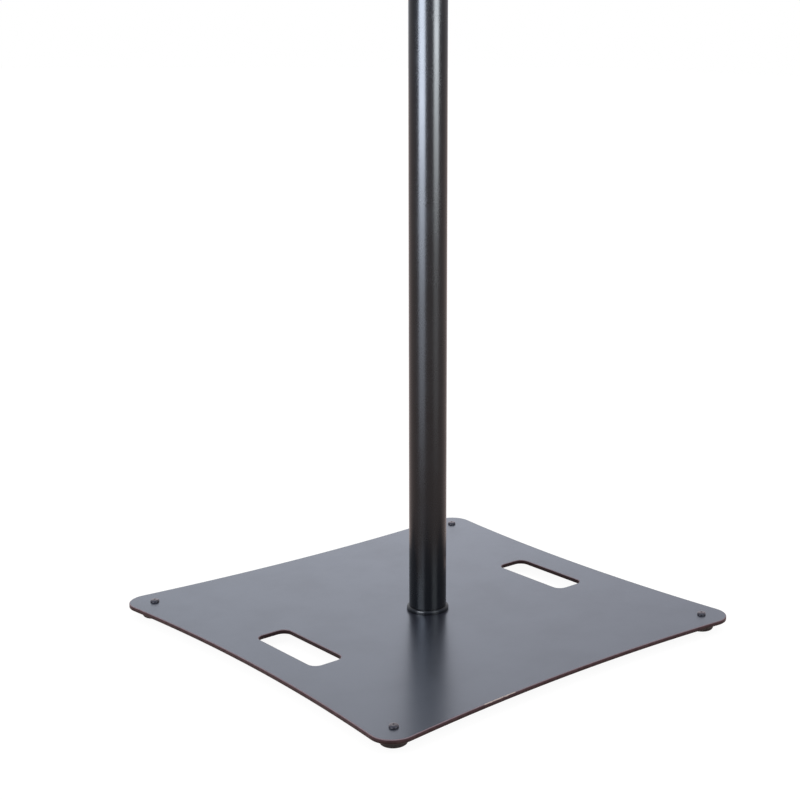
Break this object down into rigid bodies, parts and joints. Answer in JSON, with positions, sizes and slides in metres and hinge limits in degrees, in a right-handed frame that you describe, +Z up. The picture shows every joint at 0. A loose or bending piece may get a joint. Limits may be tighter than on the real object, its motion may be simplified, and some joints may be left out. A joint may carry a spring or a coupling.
{
  "type": "light stand",
  "caption": "Light stand: square steel base with bowed-in sides and hand slots, upright tube, and a sliding mast that a knob locks and a spigot socket tops.",
  "frame": {"origin": "on the floor under the centre of the tube", "axes": "+Z up along the tube; the hand slots lie near the -X and +X sides with their length along Y; the knobs face -Y"},
  "size_m": [0.6022, 0.6022, 1.2563],
  "materials": {
    "base_coat": "satin black powder coat with a fine texture",
    "tube_coat": "satin black powder coat, smooth",
    "cast_coat": "black coated casting with a fine grain",
    "black_screw": "blackened steel",
    "zinc_steel": "bright zinc plate",
    "foot_rubber": "matt black rubber",
    "bush_plastic": "natural glide plastic",
    "knob_plastic": "black moulded plastic",
    "pad_brass": "turned brass"
  },
  "bodies": {
    "base": {"base_plate": "base_coat", "foot_front_left": "foot_rubber", "foot_front_right": "foot_rubber", "foot_rear_left": "foot_rubber", "foot_rear_right": "foot_rubber", "foot_screws": "black_screw", "foot_washers": "zinc_steel", "foot_nuts": "zinc_steel", "tube_foot": "tube_coat", "tube_foot_screws": "black_screw", "lower_tube": "tube_coat", "locking_collar": "cast_coat", "collar_set_screws": "black_screw", "guide_bush": "bush_plastic"},
    "collar_shoe": {"brake_shoe": "pad_brass"},
    "collar_handle": {"collar_stud": "zinc_steel", "collar_knob": "knob_plastic"},
    "mast": {"upper_tube": "tube_coat", "glide_bush": "bush_plastic", "glide_pins": "zinc_steel", "head_socket": "cast_coat", "head_rivets": "zinc_steel"},
    "head_clamp": {"head_pad": "pad_brass"},
    "head_handle": {"head_stud": "zinc_steel", "head_knob": "knob_plastic"}
  },
  "joints": [
    {"name": "mast_slide", "type": "slide", "parent": "base", "child": "mast", "axis": [0, 0, 1], "range_m": [0, 0.8]},
    {"name": "collar_shoe_slide", "type": "slide", "parent": "base", "child": "collar_shoe", "axis": [0, -1, 0], "range_m": [0, 0.003]},
    {"name": "collar_knob_turn", "type": "hinge", "parent": "collar_shoe", "child": "collar_handle", "pos_m": [0, -0.05, 1.121], "axis": [0, -1, 0], "range_deg": [0, 720]},
    {"name": "head_pad_slide", "type": "slide", "parent": "mast", "child": "head_clamp", "axis": [0, -1, 0], "range_m": [-0.003, 0]},
    {"name": "head_knob_turn", "type": "hinge", "parent": "head_clamp", "child": "head_handle", "pos_m": [0, -0.04, 1.2163], "axis": [0, -1, 0], "range_deg": [-720, 0]}
  ],
  "couplings": [
    {"joint": "collar_shoe_slide", "follows": "collar_knob_turn", "m_per_rad": 0.00023873},
    {"joint": "head_pad_slide", "follows": "head_knob_turn", "m_per_rad": 0.00023873}
  ]
}
